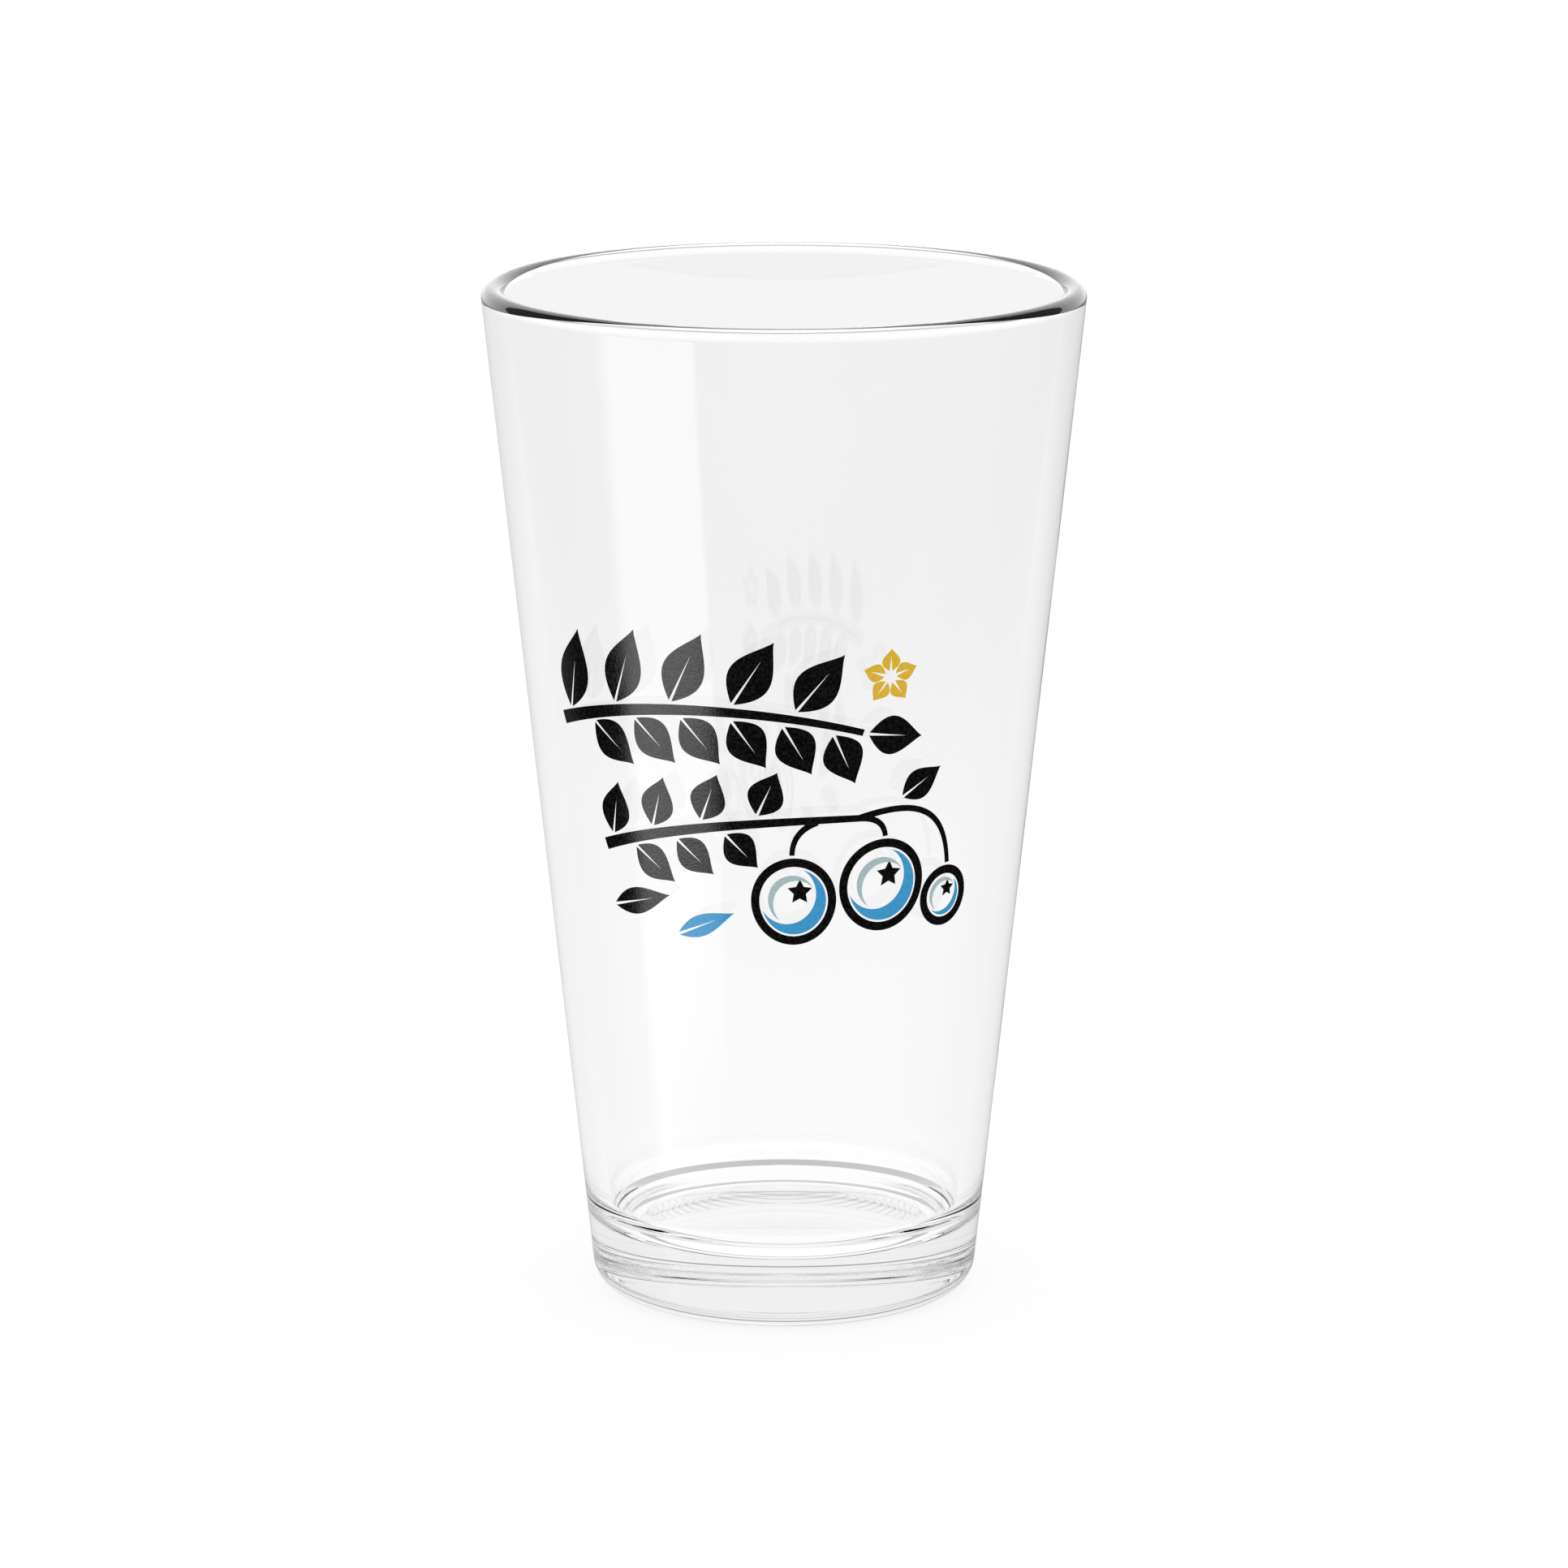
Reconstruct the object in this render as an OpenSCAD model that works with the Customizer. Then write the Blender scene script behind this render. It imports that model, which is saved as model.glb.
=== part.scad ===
// Pint glass with a heavy base and a fired leaf-and-berry print on its front.
// Millimetres, +Z up.  The origin is the centre of the foot, on the plane the glass rests on.
// The print faces -Y.

/* [Glass] */
// Outside diameter at the rim
rim_d = 89; // [84:0.5:94]
// Overall height
height = 152; // [140:1:165]
// Diameter of the outer cone where it would meet the resting plane
foot_d = 57; // [54:0.5:62]
// Wall thickness at the rim
rim_wall = 3.5; // [2.8:0.1:4.2]
// Wall thickness at the level of the floor
base_wall = 3.7; // [3:0.1:4.5]

/* [Base] */
// Height of the inside floor above the resting plane
floor_z = 10; // [8:0.5:13]
// Radius between the inside wall and the floor
corner_r = 6; // [3:0.5:9]
// Radius of the outside heel
heel_r = 4; // [2.5:0.5:6]
// Width of the flat ring the glass rests on
ring_w = 2.5; // [1.5:0.5:4]
// Rise of the shallow hollow under the foot
punt_rise = 0.3; // [0.2:0.1:2]

/* [Print] */
// Thickness of the fired ink
ink_t = 0.08; // [0.05:0.01:0.15]
// Height of the left end of the upper sprig's stalk
upper_z = 91.5; // [90:0.5:95]
// Height of the left end of the lower sprig's stalk
lower_z = 73.6; // [72:0.2:75]
// Width of the black line round each berry
line_w = 1.3; // [0.9:0.1:1.6]
// Turn of the whole print about the glass in degrees, positive to the right
print_turn = 0; // [-15:1:10]

/* [Hidden] */
$fn = 180;
rim_r = rim_d / 2;
foot_r = foot_d / 2;
lip_r = rim_wall / 2;
lip_z = height - lip_r;
// Growth of the outside radius per millimetre of height, and the same as an angle
flare = (rim_r - foot_r) / lip_z;
flare_a = atan(flare);
heel_x = foot_r + flare * heel_r - heel_r / cos(flare_a);
// The inside wall, from the lip down to the floor
bore_top_r = rim_r - rim_wall;
bore_floor_r = foot_r + flare * floor_z - base_wall;
bore_flare = (bore_top_r - bore_floor_r) / (lip_z - floor_z);
bore_a = atan(bore_flare);
corner_z = floor_z + corner_r;
corner_x = bore_floor_r + bore_flare * corner_r - corner_r / cos(bore_a);
// The hollow under the foot is the cap of a large ball
punt_r = heel_x - ring_w;
punt_ball_r = (punt_r * punt_r + punt_rise * punt_rise) / (2 * punt_rise);
// The print is drawn flat, in millimetres of arc at this radius, then wrapped on the cone
print_r = 38;
// Steps along each side of a leaf or stalk, and round a ring
leaf_n = 10;
stalk_n = 12;
ring_n = 40;
// Half width of the open vein of a leaf, and the gap from a stalk's middle to its leaves
vein_w = 0.22;
leaf_gap = 1.35;
// Middle and radius of each berry
berries = [[[1.5, 67.3], 6.6], [[15.5, 69.2], 7], [[27, 66.2], 4.6]];
// Control points of the two main stalks, and of the stalks that carry the berries
upper_stalk = [[-37.5, upper_z], [-12, upper_z + 8], [11.5, upper_z + 1]];
lower_stalk = [[-30, lower_z], [-12, lower_z + 6.4], [11.5, lower_z + 6]];
berry_stalks = [
    [[5, lower_z + 5.7], [1.2, lower_z + 4.4], [1.2, 74.3]],
    [[11.2, lower_z + 6], [15.2, lower_z + 6], [15.6, 76.6]],
    [[11.2, lower_z + 6], [25.5, lower_z + 10], [27.2, 71.2]]
];

// Outside radius of the glass at a height
function cone_r(z) = foot_r + flare * z;

// A flat point [arc, height] as seen square on to the print once it is wrapped on the cone
function wrapped(p) = [cone_r(p[1]) * sin(print_turn + p[0] / print_r * 180 / PI), p[1]];

// A point t along and u to the left of a line that leaves p at angle a
function beside(p, a, t, u) = [p[0] + t * cos(a) - u * sin(a), p[1] + t * sin(a) + u * cos(a)];

// Half width of a leaf at t, which runs from 0 at its stalk to 1 at its tip
function leaf_half(t, w) = vein_w * (1 - t) + (w / 2 - vein_w) * pow(sin(180 * pow(t, 0.8)), 1.2);

// Outline of a leaf with a vein open at its stalk end
function leaf_points(p, a, len, w) = concat(
    [for (i = [0 : leaf_n]) beside(p, a, len * i / leaf_n, leaf_half(i / leaf_n, w))],
    [for (i = [leaf_n - 1 : -1 : 0]) beside(p, a, len * i / leaf_n, -leaf_half(i / leaf_n, w))],
    [beside(p, a, len * 0.7, 0)]
);

// A bent stalk through three control points: a point on it and its angle
function stalk_at(c, t) = c[0] * (1 - t) * (1 - t) + c[1] * 2 * t * (1 - t) + c[2] * t * t;
function stalk_dir(c, t) = (c[1] - c[0]) * (1 - t) + (c[2] - c[1]) * t;
function stalk_a(c, t) = atan2(stalk_dir(c, t)[1], stalk_dir(c, t)[0]);

// Outline of a stalk that tapers from w0 to w1
function stalk_points(c, w0, w1) = concat(
    [for (i = [0 : stalk_n]) let (t = i / stalk_n)
        beside(stalk_at(c, t), stalk_a(c, t), 0, (w0 * (1 - t) + w1 * t) / 2)],
    [for (i = [stalk_n : -1 : 0]) let (t = i / stalk_n)
        beside(stalk_at(c, t), stalk_a(c, t), 0, -(w0 * (1 - t) + w1 * t) / 2)]
);

function ring_points(c, r) = [for (i = [0 : ring_n - 1]) beside(c, i * 360 / ring_n, r, 0)];

// A star of five points that touch radius r
function star_points(c, r) = [for (i = [0 : 9]) beside(c, 90 + i * 36, i % 2 == 0 ? r : r / 2, 0)];

module wrapped_polygon(points) {
    polygon([for (p = points) wrapped(p)]);
}

// The slice of a round corner between two directions
module corner_slice(x, z, r, a0, a1) {
    translate([x, z])
        intersection() {
            circle(r = r);
            polygon([
                [0, 0],
                [2 * r * cos(a0), 2 * r * sin(a0)],
                [2 * r * cos((a0 + a1) / 2), 2 * r * sin((a0 + a1) / 2)],
                [2 * r * cos(a1), 2 * r * sin(a1)]
            ]);
        }
}

// Half section of the glass as a full block with a rounded heel and lip
module outer_section() {
    polygon([
        [0, 0],
        [heel_x, 0],
        [heel_x, heel_r],
        [heel_x + heel_r * cos(flare_a), heel_r - heel_r * sin(flare_a)],
        [rim_r, lip_z],
        [0, lip_z]
    ]);
    corner_slice(heel_x, heel_r, heel_r, -90, -flare_a);
    corner_slice(rim_r - lip_r, lip_z, lip_r, 0, 90);
    corner_slice(rim_r - lip_r, lip_z, lip_r, 90, 180);
}

// Half section of the inside, open at the top
module bore_section() {
    polygon([
        [0, floor_z],
        [corner_x, floor_z],
        [corner_x, corner_z],
        [corner_x + corner_r * cos(bore_a), corner_z - corner_r * sin(bore_a)],
        [bore_top_r, lip_z],
        [bore_top_r, height],
        [0, height]
    ]);
    corner_slice(corner_x, corner_z, corner_r, -90, -bore_a);
}

module glass_body() {
    color("#dfeeee")
        difference() {
            rotate_extrude()
                difference() {
                    outer_section();
                    bore_section();
                }
            translate([0, 0, punt_rise - punt_ball_r])
                sphere(r = punt_ball_r);
        }
}

// Ink of a flat drawing, laid on the front of the outside wall
module ink() {
    z0 = 55;
    z1 = 115;
    intersection() {
        difference() {
            translate([0, 0, z0])
                cylinder(h = z1 - z0, r1 = cone_r(z0) + ink_t, r2 = cone_r(z1) + ink_t);
            translate([0, 0, z0 - 1])
                cylinder(h = z1 - z0 + 2, r1 = cone_r(z0 - 1), r2 = cone_r(z1 + 1));
        }
        rotate([90, 0, 0])
            linear_extrude(height = rim_r)
                children();
    }
}

// A row of n leaves on one side of stalk c: side is 1 above it and -1 below it
module leaf_row(c, side, n, first, step, turn, len, shrink, w) {
    for (i = [0 : n - 1]) {
        t = first + step * i;
        a = stalk_a(c, t);
        wrapped_polygon(leaf_points(
            beside(stalk_at(c, t), a, 0, side * leaf_gap), a + side * turn, len - shrink * i, w));
    }
}

module upper_sprig() {
    wrapped_polygon(stalk_points(upper_stalk, 2, 1));
    leaf_row(upper_stalk, 1, 5, 0.05, 0.185, 60, 12.4, 0.45, 6.4);
    leaf_row(upper_stalk, -1, 6, 0.14, 0.155, 52, 8.8, 0.15, 6.2);
    wrapped_polygon(leaf_points(
        beside(stalk_at(upper_stalk, 1), stalk_a(upper_stalk, 1), 0.9, 0), stalk_a(upper_stalk, 1) + 10, 8.4, 6));
}

module lower_sprig() {
    wrapped_polygon(stalk_points(lower_stalk, 1.8, 1));
    leaf_row(lower_stalk, 1, 4, 0.06, 0.2, 60, 8, 0.3, 5.6);
    leaf_row(lower_stalk, -1, 3, 0.16, 0.19, 52, 8, 0.6, 5.4);
    for (c = berry_stalks)
        wrapped_polygon(stalk_points(c, 1, 0.8));
    wrapped_polygon(leaf_points([18.2, 82.3], 32, 7.4, 4.8));
}

// The line round a berry, and the star where its flower was
module berry_line(c, r) {
    difference() {
        wrapped_polygon(ring_points(c, r));
        wrapped_polygon(ring_points(c, r - line_w));
    }
    wrapped_polygon(star_points(c + [0.14, 0.22] * r, r * 0.3));
}

// A crescent: a disc of radius r about c, less one of radius r2 about c2
module crescent(c, r, c2, r2) {
    difference() {
        wrapped_polygon(ring_points(c, r));
        wrapped_polygon(ring_points(c2, r2));
    }
}

module black_print() {
    color("#161616")
        ink() {
            upper_sprig();
            lower_sprig();
            for (b = berries)
                berry_line(b[0], b[1]);
            wrapped_polygon(leaf_points([-29, 64.6], 14, 11, 4.2));
        }
}

module blue_print() {
    color("#3d9dd0")
        ink() {
            for (b = berries)
                crescent(b[0], b[1] - line_w - 0.3, b[0] + [-0.16, 0.16] * b[1], b[1] * 0.68);
            wrapped_polygon(leaf_points([-17, 61.6], 22, 10, 3.4));
        }
}

module grey_print() {
    color("#a9bec0")
        ink()
            for (b = berries)
                crescent(b[0] + [-0.04, 0.04] * b[1], b[1] * 0.56, b[0] + [0.06, -0.06] * b[1], b[1] * 0.54);
}

// A blossom of five petals
module yellow_print() {
    color("#e0b830")
        ink()
            for (i = [0 : 4])
                wrapped_polygon(leaf_points(beside([15.2, 100.6], 18 + i * 72, 0.9, 0), 18 + i * 72, 3.3, 2.9));
}

glass_body();
black_print();
blue_print();
grey_print();
yellow_print();
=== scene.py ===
"""Clear pint glass with a fired leaf-and-berry print, on a white sweep."""

import math

import bmesh
import bpy
from bpy.props import FloatProperty, FloatVectorProperty, PointerProperty
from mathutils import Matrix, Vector


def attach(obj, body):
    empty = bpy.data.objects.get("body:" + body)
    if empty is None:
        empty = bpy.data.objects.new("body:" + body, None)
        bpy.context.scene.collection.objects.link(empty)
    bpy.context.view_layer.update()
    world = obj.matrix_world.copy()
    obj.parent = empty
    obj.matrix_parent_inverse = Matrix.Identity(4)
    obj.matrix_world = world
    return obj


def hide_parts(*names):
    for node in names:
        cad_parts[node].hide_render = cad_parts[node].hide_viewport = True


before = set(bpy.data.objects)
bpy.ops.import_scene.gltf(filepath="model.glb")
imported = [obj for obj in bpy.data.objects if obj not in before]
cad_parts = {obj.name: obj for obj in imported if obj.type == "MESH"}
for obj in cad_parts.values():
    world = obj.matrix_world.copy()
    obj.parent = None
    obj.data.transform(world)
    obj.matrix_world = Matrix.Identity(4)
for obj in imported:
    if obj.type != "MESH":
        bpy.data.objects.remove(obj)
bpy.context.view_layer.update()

bl_info = {
    "name": "Pint Glass",
    "version": (1, 0, 0),
    "blender": (4, 5, 0),
    "location": "View3D > Sidebar > Pint Glass",
    "description": "Builds a printed pint glass and the white sweep it stands on",
    "category": "Object",
}

MM = 0.001
BODY = "root"
# Edges that fold more than this, in degrees, stay crisp
CRISP_FOLD = 35
# Steps of the full spin that makes the glass
SPIN_STEPS = 384


def linear(hex_colour):
    """An sRGB hex colour as the linear red, green and blue that shaders take."""
    parts = [int(hex_colour[i : i + 2], 16) / 255 for i in (1, 3, 5)]
    return [c / 12.92 if c <= 0.04045 else ((c + 0.055) / 1.055) ** 2.4 for c in parts]


# Sizes and colours a user may change


def length(name, description, default_mm, **limits):
    """A property for a length, given in millimetres."""
    return FloatProperty(
        name=name,
        description=description,
        default=default_mm * MM,
        unit="LENGTH",
        subtype="DISTANCE",
        precision=5,
        **limits,
    )


def colour(name, description, hex_colour):
    """A property for a colour, given in sRGB hex."""
    return FloatVectorProperty(
        name=name,
        description=description,
        default=linear(hex_colour),
        subtype="COLOR",
        size=3,
        min=0,
        max=1,
    )


class GlassSizes(bpy.types.PropertyGroup):
    """Sizes of the glass itself."""

    rim_diameter: length("Rim Diameter", "Outside diameter at the rim", 89)
    height: length("Height", "Overall height", 152)
    foot_diameter: length("Foot Diameter", "Diameter of the outer cone at the resting plane", 57)
    rim_wall: length("Rim Wall", "Wall thickness at the rim", 3.5)
    base_wall: length("Base Wall", "Wall thickness at the level of the floor", 3.7)
    floor_height: length("Floor Height", "Height of the inside floor", 10)
    corner_radius: length("Corner Radius", "Radius between the inside wall and the floor", 6)
    heel_radius: length("Heel Radius", "Radius of the outside heel", 4)
    ring_width: length("Ring Width", "Width of the flat ring the glass rests on", 2.5)
    punt_rise: length("Punt Rise", "Rise of the shallow hollow under the foot", 0.3)


class PrintSizes(bpy.types.PropertyGroup):
    """Sizes and inks of the print."""

    thickness: length("Ink Thickness", "How far the fired ink stands off the glass", 0.05)
    line_width: length("Line Width", "Width of the black line round each berry", 1.3)
    leaf_gap: length("Leaf Gap", "Distance from a stalk's middle to its leaves", 1.35)
    vein: length("Vein", "Half width of the open vein of a leaf", 0.22)
    black: colour("Black Ink", "Colour of the outlines, stalks and leaves", "#070708")
    blue: colour("Blue Ink", "Colour of the berries' shaded sides", "#3a98cc")
    grey: colour("Grey Ink", "Colour of the berries' lit sides", "#a9bec0")
    yellow: colour("Yellow Ink", "Colour of the blossom", "#deb42f")


class StudioSettings(bpy.types.PropertyGroup):
    """The sweep and the lights."""

    sweep: colour("Sweep", "Colour of the floor", "#7c7c7c")
    sweep_glow: FloatProperty(
        name="Sweep Glow",
        description="Light that comes through the sweep from below and thins the shadow",
        default=0.83,
        min=0,
    )
    softbox: FloatProperty(
        name="Softbox",
        description="Brightness of the tall softbox on the left, where 1 is white",
        default=1.7,
        min=0,
    )
    card: FloatProperty(
        name="Card",
        description="Brightness of the card behind the glass, where 1 is white",
        default=1.6,
        min=0,
    )


# Shared helpers


def add_node(tree, kind, inputs=None, **settings):
    """A new shader node with its settings and its inputs, each a number or a socket to link."""
    node = tree.nodes.new(kind)
    for name, value in settings.items():
        setattr(node, name, value)
    for name, value in (inputs or {}).items():
        if isinstance(value, bpy.types.NodeSocket):
            tree.links.new(value, node.inputs[name])
        else:
            node.inputs[name].default_value = value
    return node


def new_material(name):
    """An empty material that shows what the returned tree puts out."""
    material = bpy.data.materials.new(name)
    material.use_nodes = True
    material.node_tree.nodes.clear()
    return material, material.node_tree


def finished(bm, name, material):
    """The mesh as an object at the origin, smooth except at its sharp edges."""
    for edge in bm.edges:
        edge.smooth = edge.calc_face_angle(0) < math.radians(CRISP_FOLD)
    for face in bm.faces:
        face.smooth = True
    mesh = bpy.data.meshes.new(name)
    bm.to_mesh(mesh)
    bm.free()
    mesh.materials.append(material)
    piece = bpy.data.objects.new(name, mesh)
    bpy.context.scene.collection.objects.link(piece)
    return piece


def flare(sizes):
    """How much the outside radius grows for each metre of height."""
    lip_z = sizes.height - sizes.rim_wall / 2
    return (sizes.rim_diameter - sizes.foot_diameter) / 2 / lip_z


def cone_radius(sizes, z):
    """Outside radius of the glass at a height."""
    return sizes.foot_diameter / 2 + flare(sizes) * z


def arc(x, z, radius, start, end, steps):
    """Points of a round corner of the half section, from one direction to another, in degrees."""
    turns = [math.radians(start + (end - start) * i / steps) for i in range(steps + 1)]
    return [(x + radius * math.cos(a), z + radius * math.sin(a)) for a in turns]


def line(a, b, shares):
    """Points at these shares of the way from a to b."""
    return [(a[0] + (b[0] - a[0]) * s, a[1] + (b[1] - a[1]) * s) for s in shares]


# Materials

# Distance between the specks of the ink's grain, drawn coarser than the real mesh so that it shows
GRAIN = 0.4 * MM


def soda_lime_glass():
    """Soda-lime glass, pressed in a mould and fire-polished.

    It is clear with a mirror-like skin.  The mould leaves the wall faintly wavy over some
    15 mm, which bends what is seen through it a little.
    """
    material, tree = new_material("soda_lime_glass")
    place = add_node(tree, "ShaderNodeTexCoord")
    # one wave in about 15 mm
    waves = add_node(
        tree,
        "ShaderNodeTexNoise",
        {"Vector": place.outputs["Object"], "Scale": 65.0, "Detail": 1.0, "Roughness": 0.4},
    )
    skin = add_node(
        tree,
        "ShaderNodeBump",
        {"Height": waves.outputs["Fac"], "Strength": 0.006, "Distance": 0.001},
    )
    glass = add_node(
        tree,
        "ShaderNodeBsdfPrincipled",
        {
            "Base Color": (1.0, 1.0, 1.0, 1.0),
            "Roughness": 0.0,
            "IOR": 1.52,
            "Transmission Weight": 1.0,
            "Normal": skin.outputs["Normal"],
        },
    )
    add_node(tree, "ShaderNodeOutputMaterial", {"Surface": glass.outputs["BSDF"]})
    return material


def printed_ink(name, ink):
    """Screen-printed enamel, fired on.

    The mesh of the screen leaves a fine grain of thinner and thicker spots, about 0.4 mm
    apart, so a dark ink is speckled with paler points.  The fired skin is satin, and the
    metal oxides in the enamel make it mirror a little more than the glass does.
    """
    material, tree = new_material(name)
    place = add_node(tree, "ShaderNodeTexCoord")
    mesh = add_node(
        tree,
        "ShaderNodeTexNoise",
        {"Vector": place.outputs["Object"], "Scale": 1 / GRAIN, "Detail": 1.5, "Roughness": 0.6},
    )
    grain = add_node(
        tree,
        "ShaderNodeMapRange",
        {"Value": mesh.outputs["Fac"], "From Min": 0.36, "From Max": 0.68},
        interpolation_type="SMOOTHSTEP",
    ).outputs["Result"]
    # where the ink is thin it is paler, and where it is thick it is deeper
    pale = [min(1.0, c * 1.04 + 0.006) for c in ink] + [1.0]
    deep = [c * 0.94 for c in ink] + [1.0]
    tone = add_node(tree, "ShaderNodeMix", {"Factor": grain, 6: deep, 7: pale}, data_type="RGBA")
    gloss = add_node(tree, "ShaderNodeMapRange", {"Value": grain, "To Min": 0.13, "To Max": 0.2})
    skin = add_node(
        tree, "ShaderNodeBump", {"Height": grain, "Strength": 0.2, "Distance": 0.00002}
    )
    paint = add_node(
        tree,
        "ShaderNodeBsdfPrincipled",
        {
            "Base Color": tone.outputs[2],
            "Roughness": gloss.outputs["Result"],
            "IOR": 1.75,
            "Normal": skin.outputs["Normal"],
        },
    )
    add_node(tree, "ShaderNodeOutputMaterial", {"Surface": paint.outputs["BSDF"]})
    return material


# The glass


def glass_section(sizes):
    """Half section of the glass, from the middle of the foot round to the middle of the floor."""
    lip = sizes.rim_wall / 2
    lip_z = sizes.height - lip
    rim = sizes.rim_diameter / 2
    slope = flare(sizes)
    lean = math.degrees(math.atan(slope))
    heel = sizes.heel_radius
    heel_x = sizes.foot_diameter / 2 + slope * heel - heel / math.cos(math.radians(lean))
    floor = sizes.floor_height
    bore_floor = cone_radius(sizes, floor) - sizes.base_wall
    bore_slope = (rim - sizes.rim_wall - bore_floor) / (lip_z - floor)
    bore_lean = math.degrees(math.atan(bore_slope))
    corner = sizes.corner_radius
    corner_x = bore_floor + bore_slope * corner - corner / math.cos(math.radians(bore_lean))
    punt = heel_x - sizes.ring_width

    section = [(punt * s, sizes.punt_rise * (1 - s * s)) for s in [i / 16 for i in range(17)]]
    section += line((punt, 0), (heel_x, 0), (0.1, 0.5, 0.9))
    section += arc(heel_x, heel, heel, -90, -lean, 16)
    # close to each end, so that a flat wall keeps its true normals
    wall = (0.003, 0.02, 0.1, 0.3, 0.5, 0.7, 0.9, 0.98, 0.997)
    section += line(section[-1], (rim, lip_z), wall)
    section += arc(rim - lip, lip_z, lip, 0, 180, 24)
    inside = arc(corner_x, floor + corner, corner, -bore_lean, -90, 20)
    section += line(section[-1], inside[0], wall)
    section += inside
    section += line(inside[-1], (0, floor), (0.01, 0.1, 0.3, 0.5, 0.7, 0.85, 1))
    return section


class PINTGLASS_OT_glass(bpy.types.Operator):
    """Spin the half section into the glass"""

    bl_idname = "pint_glass.glass"
    bl_label = "Glass"

    def execute(self, context):
        bm = bmesh.new()
        points = [bm.verts.new((x, 0, z)) for x, z in glass_section(context.scene.glass_sizes)]
        edges = [bm.edges.new(pair) for pair in zip(points, points[1:])]
        bmesh.ops.spin(
            bm,
            geom=points + edges,
            cent=(0, 0, 0),
            axis=(0, 0, 1),
            angle=math.tau,
            steps=SPIN_STEPS,
            use_merge=True,
        )
        bmesh.ops.remove_doubles(bm, verts=bm.verts, dist=0.001 * MM)
        bmesh.ops.recalc_face_normals(bm, faces=bm.faces)
        piece = finished(bm, "clear_glass", soda_lime_glass())
        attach(piece, BODY)
        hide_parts("glass_body")
        return {"FINISHED"}


# The print, drawn flat in metres of arc and of height, then wrapped on the glass

PRINT_RADIUS = 38 * MM
# Middle and radius of each berry
BERRIES = (((1.5, 67.3), 6.6), ((15.5, 69.2), 7.0), ((27.0, 66.2), 4.6))
# Control points of the two main stalks, and of those that carry the berries
UPPER_STALK = ((-37.5, 91.5), (-12, 99.5), (11.5, 92.5))
LOWER_STALK = ((-30, 73.6), (-12, 80), (11.5, 79.6))
BERRY_STALKS = (
    ((5, 79.3), (1.2, 78), (1.2, 74.3)),
    ((11.2, 79.6), (15.2, 79.6), (15.6, 76.6)),
    ((11.2, 79.6), (25.5, 83.6), (27.2, 71.2)),
)


def mm_vector(point):
    """A flat point given in millimetres."""
    return Vector(point) * MM


def ribbon(bm, along, across, place):
    """A flat strip whose point at t along and s across, both from 0 to 1, is place(t, s)."""
    made = bmesh.ops.create_grid(bm, x_segments=along, y_segments=across, size=0.5)
    for vert in made["verts"]:
        vert.co.xy = place(vert.co.x + 0.5, vert.co.y + 0.5)


def beside(start, angle, ahead, left):
    """The point ahead and to the left of a start, for a heading in radians."""
    heading = Vector((math.cos(angle), math.sin(angle)))
    return start + heading * ahead + heading.orthogonal() * left


def on_stalk(stalk, t):
    """A bent stalk's point and heading at t."""
    a, b, c = (mm_vector(p) for p in stalk)
    point = a * (1 - t) ** 2 + b * 2 * t * (1 - t) + c * t * t
    heading = (b - a) * (1 - t) + (c - b) * t
    return point, math.atan2(heading.y, heading.x)


def draw_stalk(bm, stalk, start_mm, end_mm):
    """A stalk that tapers from one width to another."""

    def place(t, s):
        point, angle = on_stalk(stalk, t)
        width = (start_mm * (1 - t) + end_mm * t) * MM
        return beside(point, angle, 0, width * (s - 0.5))

    ribbon(bm, 28, 2, place)


def draw_leaf(bm, sizes, start, angle, length_mm, width_mm):
    """A leaf as two halves, with its vein left open between them near the stalk."""
    open_share = 0.7
    for side in (-1, 1):

        def place(t, s, side=side):
            belly = max(0.0, math.sin(math.pi * t**0.8)) ** 1.2
            outer = sizes.vein * (1 - t) + (width_mm * MM / 2 - sizes.vein) * belly
            inner = sizes.vein * max(0.0, 1 - t / open_share)
            left = side * (inner + (outer - inner) * s)
            return beside(start, angle, length_mm * MM * t, left)

        ribbon(bm, 20, 3, place)


def draw_leaf_row(bm, sizes, stalk, side, first, step, turn, lengths_mm, width_mm):
    """Leaves on one side of a stalk: side is 1 above it and -1 below it."""
    for i, length_mm in enumerate(lengths_mm):
        point, angle = on_stalk(stalk, first + step * i)
        start = beside(point, angle, 0, side * sizes.leaf_gap)
        draw_leaf(bm, sizes, start, angle + side * math.radians(turn), length_mm, width_mm)


def draw_ring(bm, middle, radius, width):
    """A round line."""

    def place(t, s):
        return beside(middle, math.tau * t, radius - width * s, 0)

    ribbon(bm, 72, 2, place)


def draw_crescent(bm, middle, radius, middle2, radius2):
    """A disc less the part of it that a second disc covers."""
    apart = middle - middle2
    d = apart.length
    facing = math.atan2(apart.y, apart.x)
    half = math.acos((radius2**2 - radius**2 - d**2) / (2 * radius * d))
    half2 = math.acos((radius2**2 + d**2 - radius**2) / (2 * radius2 * d))

    def place(t, s):
        outer = beside(middle, facing + half * (2 * t - 1), radius, 0)
        inner = beside(middle2, facing + half2 * (2 * t - 1), radius2, 0)
        return outer.lerp(inner, s)

    ribbon(bm, 48, 3, place)


def draw_star(bm, middle, radius):
    """A star of five points."""
    made = bmesh.ops.create_circle(bm, cap_ends=True, cap_tris=True, segments=10, radius=radius)
    for vert in made["verts"]:
        turn = math.atan2(vert.co.y, vert.co.x)
        reach = vert.co.length
        spoke = round((turn - math.pi / 2) / (math.pi / 5))
        vert.co.xy = beside(middle, turn, reach * (1 if spoke % 2 == 0 else 0.5), 0)


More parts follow.
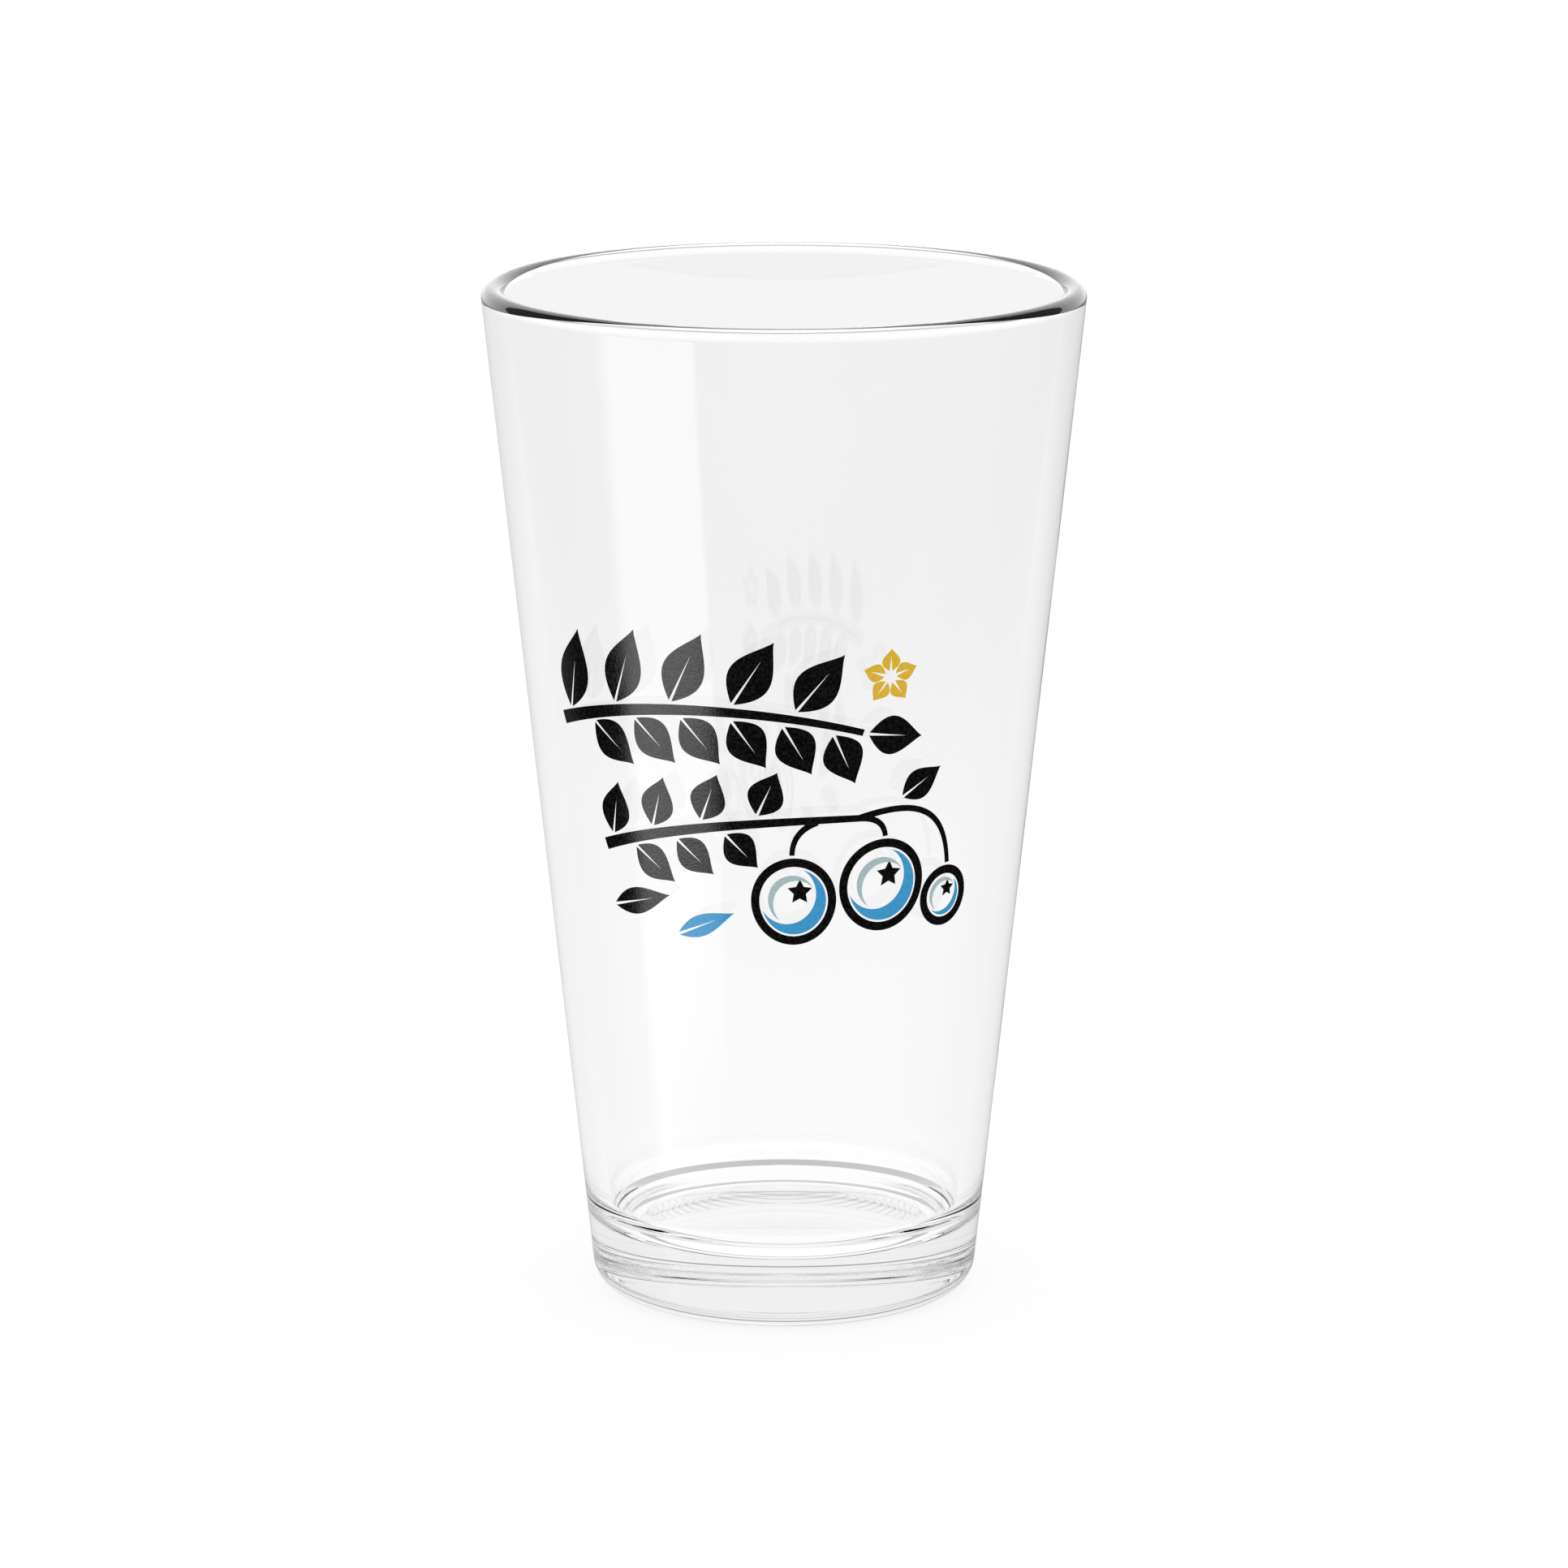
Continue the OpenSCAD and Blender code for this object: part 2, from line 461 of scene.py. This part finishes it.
def draw_black(bm, sizes):
    """The two sprigs, the berries' outlines and one fallen leaf."""
    draw_stalk(bm, UPPER_STALK, 2.0, 1.0)
    draw_leaf_row(bm, sizes, UPPER_STALK, 1, 0.05, 0.185, 60, [12.4 - 0.45 * i for i in range(5)], 6.4)
    draw_leaf_row(bm, sizes, UPPER_STALK, -1, 0.14, 0.155, 52, [8.8 - 0.15 * i for i in range(6)], 6.2)
    tip, angle = on_stalk(UPPER_STALK, 1)
    draw_leaf(bm, sizes, beside(tip, angle, 0.9 * MM, 0), angle + math.radians(10), 8.4, 6)
    draw_stalk(bm, LOWER_STALK, 1.8, 1.0)
    draw_leaf_row(bm, sizes, LOWER_STALK, 1, 0.06, 0.2, 60, [8 - 0.3 * i for i in range(4)], 5.6)
    draw_leaf_row(bm, sizes, LOWER_STALK, -1, 0.16, 0.19, 52, [8 - 0.6 * i for i in range(3)], 5.4)
    for stalk in BERRY_STALKS:
        draw_stalk(bm, stalk, 1.0, 0.8)
    draw_leaf(bm, sizes, mm_vector((18.2, 82.3)), math.radians(32), 7.4, 4.8)
    draw_leaf(bm, sizes, mm_vector((-29, 64.6)), math.radians(14), 11, 4.2)
    for middle, radius in BERRIES:
        middle, radius = mm_vector(middle), radius * MM
        draw_ring(bm, middle, radius, sizes.line_width)
        draw_star(bm, middle + Vector((0.14, 0.22)) * radius, radius * 0.3)


def draw_blue(bm, sizes):
    """The berries' shaded sides and one fallen leaf."""
    for middle, radius in BERRIES:
        middle, radius = mm_vector(middle), radius * MM
        bite = middle + Vector((-0.16, 0.16)) * radius
        draw_crescent(bm, middle, radius - sizes.line_width - 0.3 * MM, bite, radius * 0.68)
    draw_leaf(bm, sizes, mm_vector((-17, 61.6)), math.radians(22), 10, 3.4)


def draw_grey(bm, sizes):
    """The berries' lit sides."""
    for middle, radius in BERRIES:
        middle, radius = mm_vector(middle), radius * MM
        lit = middle + Vector((-0.04, 0.04)) * radius
        bite = middle + Vector((0.06, -0.06)) * radius
        draw_crescent(bm, lit, radius * 0.56, bite, radius * 0.54)


def draw_yellow(bm, sizes):
    """A blossom of five petals."""
    middle = mm_vector((15.2, 100.6))
    for i in range(5):
        angle = math.radians(18 + 72 * i)
        draw_leaf(bm, sizes, beside(middle, angle, 0.9 * MM, 0), angle, 3.3, 2.9)


def wrap_and_thicken(bm, glass, sizes):
    """Lay a flat drawing on the glass, sunk a hair into it, and give it its thickness."""
    bmesh.ops.remove_doubles(bm, verts=bm.verts, dist=0.002 * MM)
    bmesh.ops.dissolve_degenerate(bm, edges=bm.edges, dist=0.001 * MM)
    sunk = 0.01 * MM
    skin = bmesh.ops.extrude_face_region(bm, geom=bm.faces[:])
    top = {v for v in skin["geom"] if isinstance(v, bmesh.types.BMVert)}
    for vert in bm.verts:
        across, z = vert.co.x, vert.co.y
        radius = cone_radius(glass, z) - sunk
        if vert in top:
            radius += sunk + sizes.thickness
        turn = across / PRINT_RADIUS
        vert.co = (radius * math.sin(turn), -radius * math.cos(turn), z)
    bmesh.ops.recalc_face_normals(bm, faces=bm.faces)


class PINTGLASS_OT_print(bpy.types.Operator):
    """Lay the four inks of the print on the glass"""

    bl_idname = "pint_glass.print"
    bl_label = "Print"

    def execute(self, context):
        glass = context.scene.glass_sizes
        sizes = context.scene.print_sizes
        inks = (
            ("black", draw_black, sizes.black),
            ("blue", draw_blue, sizes.blue),
            ("grey", draw_grey, sizes.grey),
            ("yellow", draw_yellow, sizes.yellow),
        )
        for name, draw, ink in inks:
            bm = bmesh.new()
            draw(bm, sizes)
            wrap_and_thicken(bm, glass, sizes)
            piece = finished(bm, f"{name}_ink", printed_ink(f"{name}_enamel", ink))
            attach(piece, BODY)
            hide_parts(f"{name}_print")
        return {"FINISHED"}


# The studio

# Place of the camera in metres, how far it looks down in radians, and its lens
CAMERA_PLACE = (0, -0.970, 0.298)
CAMERA_PITCH = 0.2244
LENS_MM = 152.9
SENSOR_MM = 36
# Half the width of the floor, in metres
FLOOR_REACH = 4
# Turns a ray may take: light that goes round inside the heavy base needs many to get out
INSIDE_TURNS = 40
MIRROR_TURNS = 32

MATH = "ShaderNodeMath"
RAMP = "ShaderNodeMapRange"
STRAIGHT = {"interpolation_type": "LINEAR"}
SOFT = {"interpolation_type": "SMOOTHSTEP"}
TIMES = {"operation": "MULTIPLY"}
PLUS = {"operation": "ADD"}
MINUS = {"operation": "SUBTRACT"}
DEGREES = {"operation": "DEGREES"}

# Each row of a recipe is one node: the name of its result, its kind, its settings and its
# inputs, each a number or an earlier result.  A ramp's inputs are the value it reads, the two
# ends it reads between and the two numbers it gives there.  Angles are in degrees, azimuth
# from the camera's side and growing to the right, elevation from the horizon.

DIRECTIONS = (
    ("ahead", MATH, TIMES, "y", -1),
    ("turn", MATH, {"operation": "ARCTAN2"}, "x", "ahead"),
    ("azimuth", MATH, DEGREES, "turn"),
    ("rise", MATH, {"operation": "ARCSINE"}, "z"),
    ("elevation", MATH, DEGREES, "rise"),
)

# What the skin of the glass and the ink mirror.  The studio is dark on the camera's side,
# apart from a tall softbox on the left.  A card stands behind the glass on a pale floor.
MIRRORED = (
    ("aside", MATH, {"operation": "ABSOLUTE"}, "azimuth"),
    ("over_floor", RAMP, SOFT, "elevation", -8, -2, 0, 1),
    # the card is seen between its slanted edges
    ("card_edge", RAMP, STRAIGHT, "elevation", 0, 30, 124, 148),
    ("on_card", MATH, {"operation": "GREATER_THAN"}, "aside", "card_edge"),
    ("card_above", MATH, TIMES, "on_card", "over_floor"),
    ("card_light", MATH, TIMES, "card_above", "card"),
    # the floor behind is paler on the left
    ("floor_tone", RAMP, STRAIGHT, "azimuth", -90, 90, 0.62, 0.45),
    ("floor_behind", RAMP, STRAIGHT, "aside", 105, 150, 0, "floor_tone"),
    ("under_card", RAMP, SOFT, "elevation", -8, -2, 1, 0),
    ("floor_light", MATH, TIMES, "floor_behind", "under_card"),
    # the softbox leans, its left edge is soft, and its light fades towards its foot
    ("lean", RAMP, STRAIGHT, "elevation", -24.5, -21.5, 0, -4),
    ("upright", MATH, MINUS, "azimuth", "lean"),
    ("left_edge", RAMP, SOFT, "azimuth", -80, -70, 0, 1),
    ("right_edge", RAMP, SOFT, "upright", -32.5, -29.5, 1, 0),
    ("across", MATH, TIMES, "left_edge", "right_edge"),
    ("foot", RAMP, STRAIGHT, "elevation", -27.6, -24.2, 0, "softbox"),
    ("head", RAMP, SOFT, "elevation", -18, -10, 1, 0),
    ("tall", MATH, TIMES, "foot", "head"),
    ("softbox_light", MATH, TIMES, "across", "tall"),
    ("behind", MATH, PLUS, "card_light", "floor_light"),
    ("lit", MATH, PLUS, "behind", "softbox_light"),
    ("dim_walls", MATH, TIMES, "over_floor", 0.2),
    ("mirrored", MATH, {"operation": "MAXIMUM"}, "lit", "dim_walls"),
)

# What is seen through the glass, the same from every side.  It is white, a little less so
# far up the sweep.  Two thin dark bands, at angles that only the thick base bends into view,
# draw the fine lines round the floor and the heel.
BENT = (
    ("sweep", RAMP, SOFT, "elevation", -15.2, -11, 1.0, 0.915),
    ("near_floor", RAMP, SOFT, "elevation", -25, -18, 0.06, 0),
    ("white", MATH, PLUS, "sweep", "near_floor"),
    ("low_start", RAMP, SOFT, "elevation", -46.5, -45.5, 0, 0.5),
    ("low_end", RAMP, SOFT, "elevation", -39, -38, 1, 0),
    ("low_band", MATH, TIMES, "low_start", "low_end"),
    ("high_start", RAMP, SOFT, "elevation", 9.5, 10.5, 0, 0.55),
    ("high_end", RAMP, SOFT, "elevation", 13, 14, 1, 0),
    ("high_band", MATH, TIMES, "high_start", "high_end"),
    ("less_low", MATH, MINUS, "white", "low_band"),
    ("bent", MATH, MINUS, "less_low", "high_band"),
)

# A ray that passes the glass counts as mirrored too, so that choice comes last.
SEEN = (
    ("direct_or_mirrored", RAMP, STRAIGHT, "is_mirrored", 0, 1, 1, "mirrored"),
    ("light", RAMP, STRAIGHT, "is_bent", 0, 1, "direct_or_mirrored", "bent"),
)


def white_room(studio):
    """The light of the studio, drawn on the world."""
    world = bpy.data.worlds.new("white_room")
    bpy.context.scene.world = world
    world.use_nodes = True
    tree = world.node_tree
    tree.nodes.clear()
    place = add_node(tree, "ShaderNodeTexCoord")
    axes = add_node(tree, "ShaderNodeSeparateXYZ", {"Vector": place.outputs["Generated"]})
    ray = add_node(tree, "ShaderNodeLightPath")
    results = {
        "x": axes.outputs["X"],
        "y": axes.outputs["Y"],
        "z": axes.outputs["Z"],
        "is_mirrored": ray.outputs["Is Glossy Ray"],
        "is_bent": ray.outputs["Is Transmission Ray"],
        "card": studio.card,
        "softbox": studio.softbox,
    }
    for name, kind, settings, *inputs in DIRECTIONS + MIRRORED + BENT + SEEN:
        sockets = {i: results.get(value, value) for i, value in enumerate(inputs)}
        results[name] = add_node(tree, kind, sockets, **settings).outputs[0]
    glow = add_node(
        tree, "ShaderNodeBackground", {"Color": (1, 1, 1, 1), "Strength": results["light"]}
    )
    add_node(tree, "ShaderNodeOutputWorld", {"Surface": glow.outputs["Background"]})


class PINTGLASS_OT_studio(bpy.types.Operator):
    """Set up the sweep, the lights and the camera"""

    bl_idname = "pint_glass.studio"
    bl_label = "Studio"

    def execute(self, context):
        scene = context.scene
        studio = scene.studio
        scene.view_settings.view_transform = "Standard"
        scene.cycles.max_bounces = INSIDE_TURNS
        scene.cycles.glossy_bounces = MIRROR_TURNS
        scene.cycles.transmission_bounces = INSIDE_TURNS

        material, tree = new_material("white_sweep")
        paint = add_node(
            tree,
            "ShaderNodeBsdfPrincipled",
            {
                "Base Color": [*studio.sweep, 1],
                "Roughness": 0.9,
                "Specular IOR Level": 0.0,
                "Emission Color": (1, 1, 1, 1),
                "Emission Strength": studio.sweep_glow,
            },
        )
        add_node(tree, "ShaderNodeOutputMaterial", {"Surface": paint.outputs["BSDF"]})
        bm = bmesh.new()
        bmesh.ops.create_grid(bm, x_segments=1, y_segments=1, size=FLOOR_REACH)
        floor = finished(bm, "sweep", material)
        floor.visible_glossy = False
        floor.visible_transmission = False

        white_room(studio)

        camera = bpy.data.cameras.new("camera")
        camera.sensor_width = SENSOR_MM
        camera.lens = LENS_MM
        stand = bpy.data.objects.new("camera", camera)
        stand.location = CAMERA_PLACE
        stand.rotation_euler = (math.pi / 2 - CAMERA_PITCH, 0, 0)
        scene.collection.objects.link(stand)
        scene.camera = stand
        return {"FINISHED"}


class PINTGLASS_PT_panel(bpy.types.Panel):
    """The pint glass, piece by piece"""

    bl_idname = "PINTGLASS_PT_panel"
    bl_label = "Pint Glass"
    bl_space_type = "VIEW_3D"
    bl_region_type = "UI"
    bl_category = "Pint Glass"

    def draw(self, context):
        scene = context.scene
        for group, operator in (
            (scene.glass_sizes, "pint_glass.glass"),
            (scene.print_sizes, "pint_glass.print"),
            (scene.studio, "pint_glass.studio"),
        ):
            box = self.layout.box()
            for name in group.__annotations__:
                box.prop(group, name)
            box.operator(operator)


CLASSES = (
    GlassSizes,
    PrintSizes,
    StudioSettings,
    PINTGLASS_OT_glass,
    PINTGLASS_OT_print,
    PINTGLASS_OT_studio,
    PINTGLASS_PT_panel,
)


def register():
    for cls in CLASSES:
        bpy.utils.register_class(cls)
    bpy.types.Scene.glass_sizes = PointerProperty(type=GlassSizes)
    bpy.types.Scene.print_sizes = PointerProperty(type=PrintSizes)
    bpy.types.Scene.studio = PointerProperty(type=StudioSettings)


def unregister():
    del bpy.types.Scene.studio
    del bpy.types.Scene.print_sizes
    del bpy.types.Scene.glass_sizes
    for cls in reversed(CLASSES):
        bpy.utils.unregister_class(cls)


def main():
    """Build everything."""
    register()
    bpy.ops.pint_glass.studio()
    bpy.ops.pint_glass.glass()
    bpy.ops.pint_glass.print()


if __name__ == "__main__":
    main()
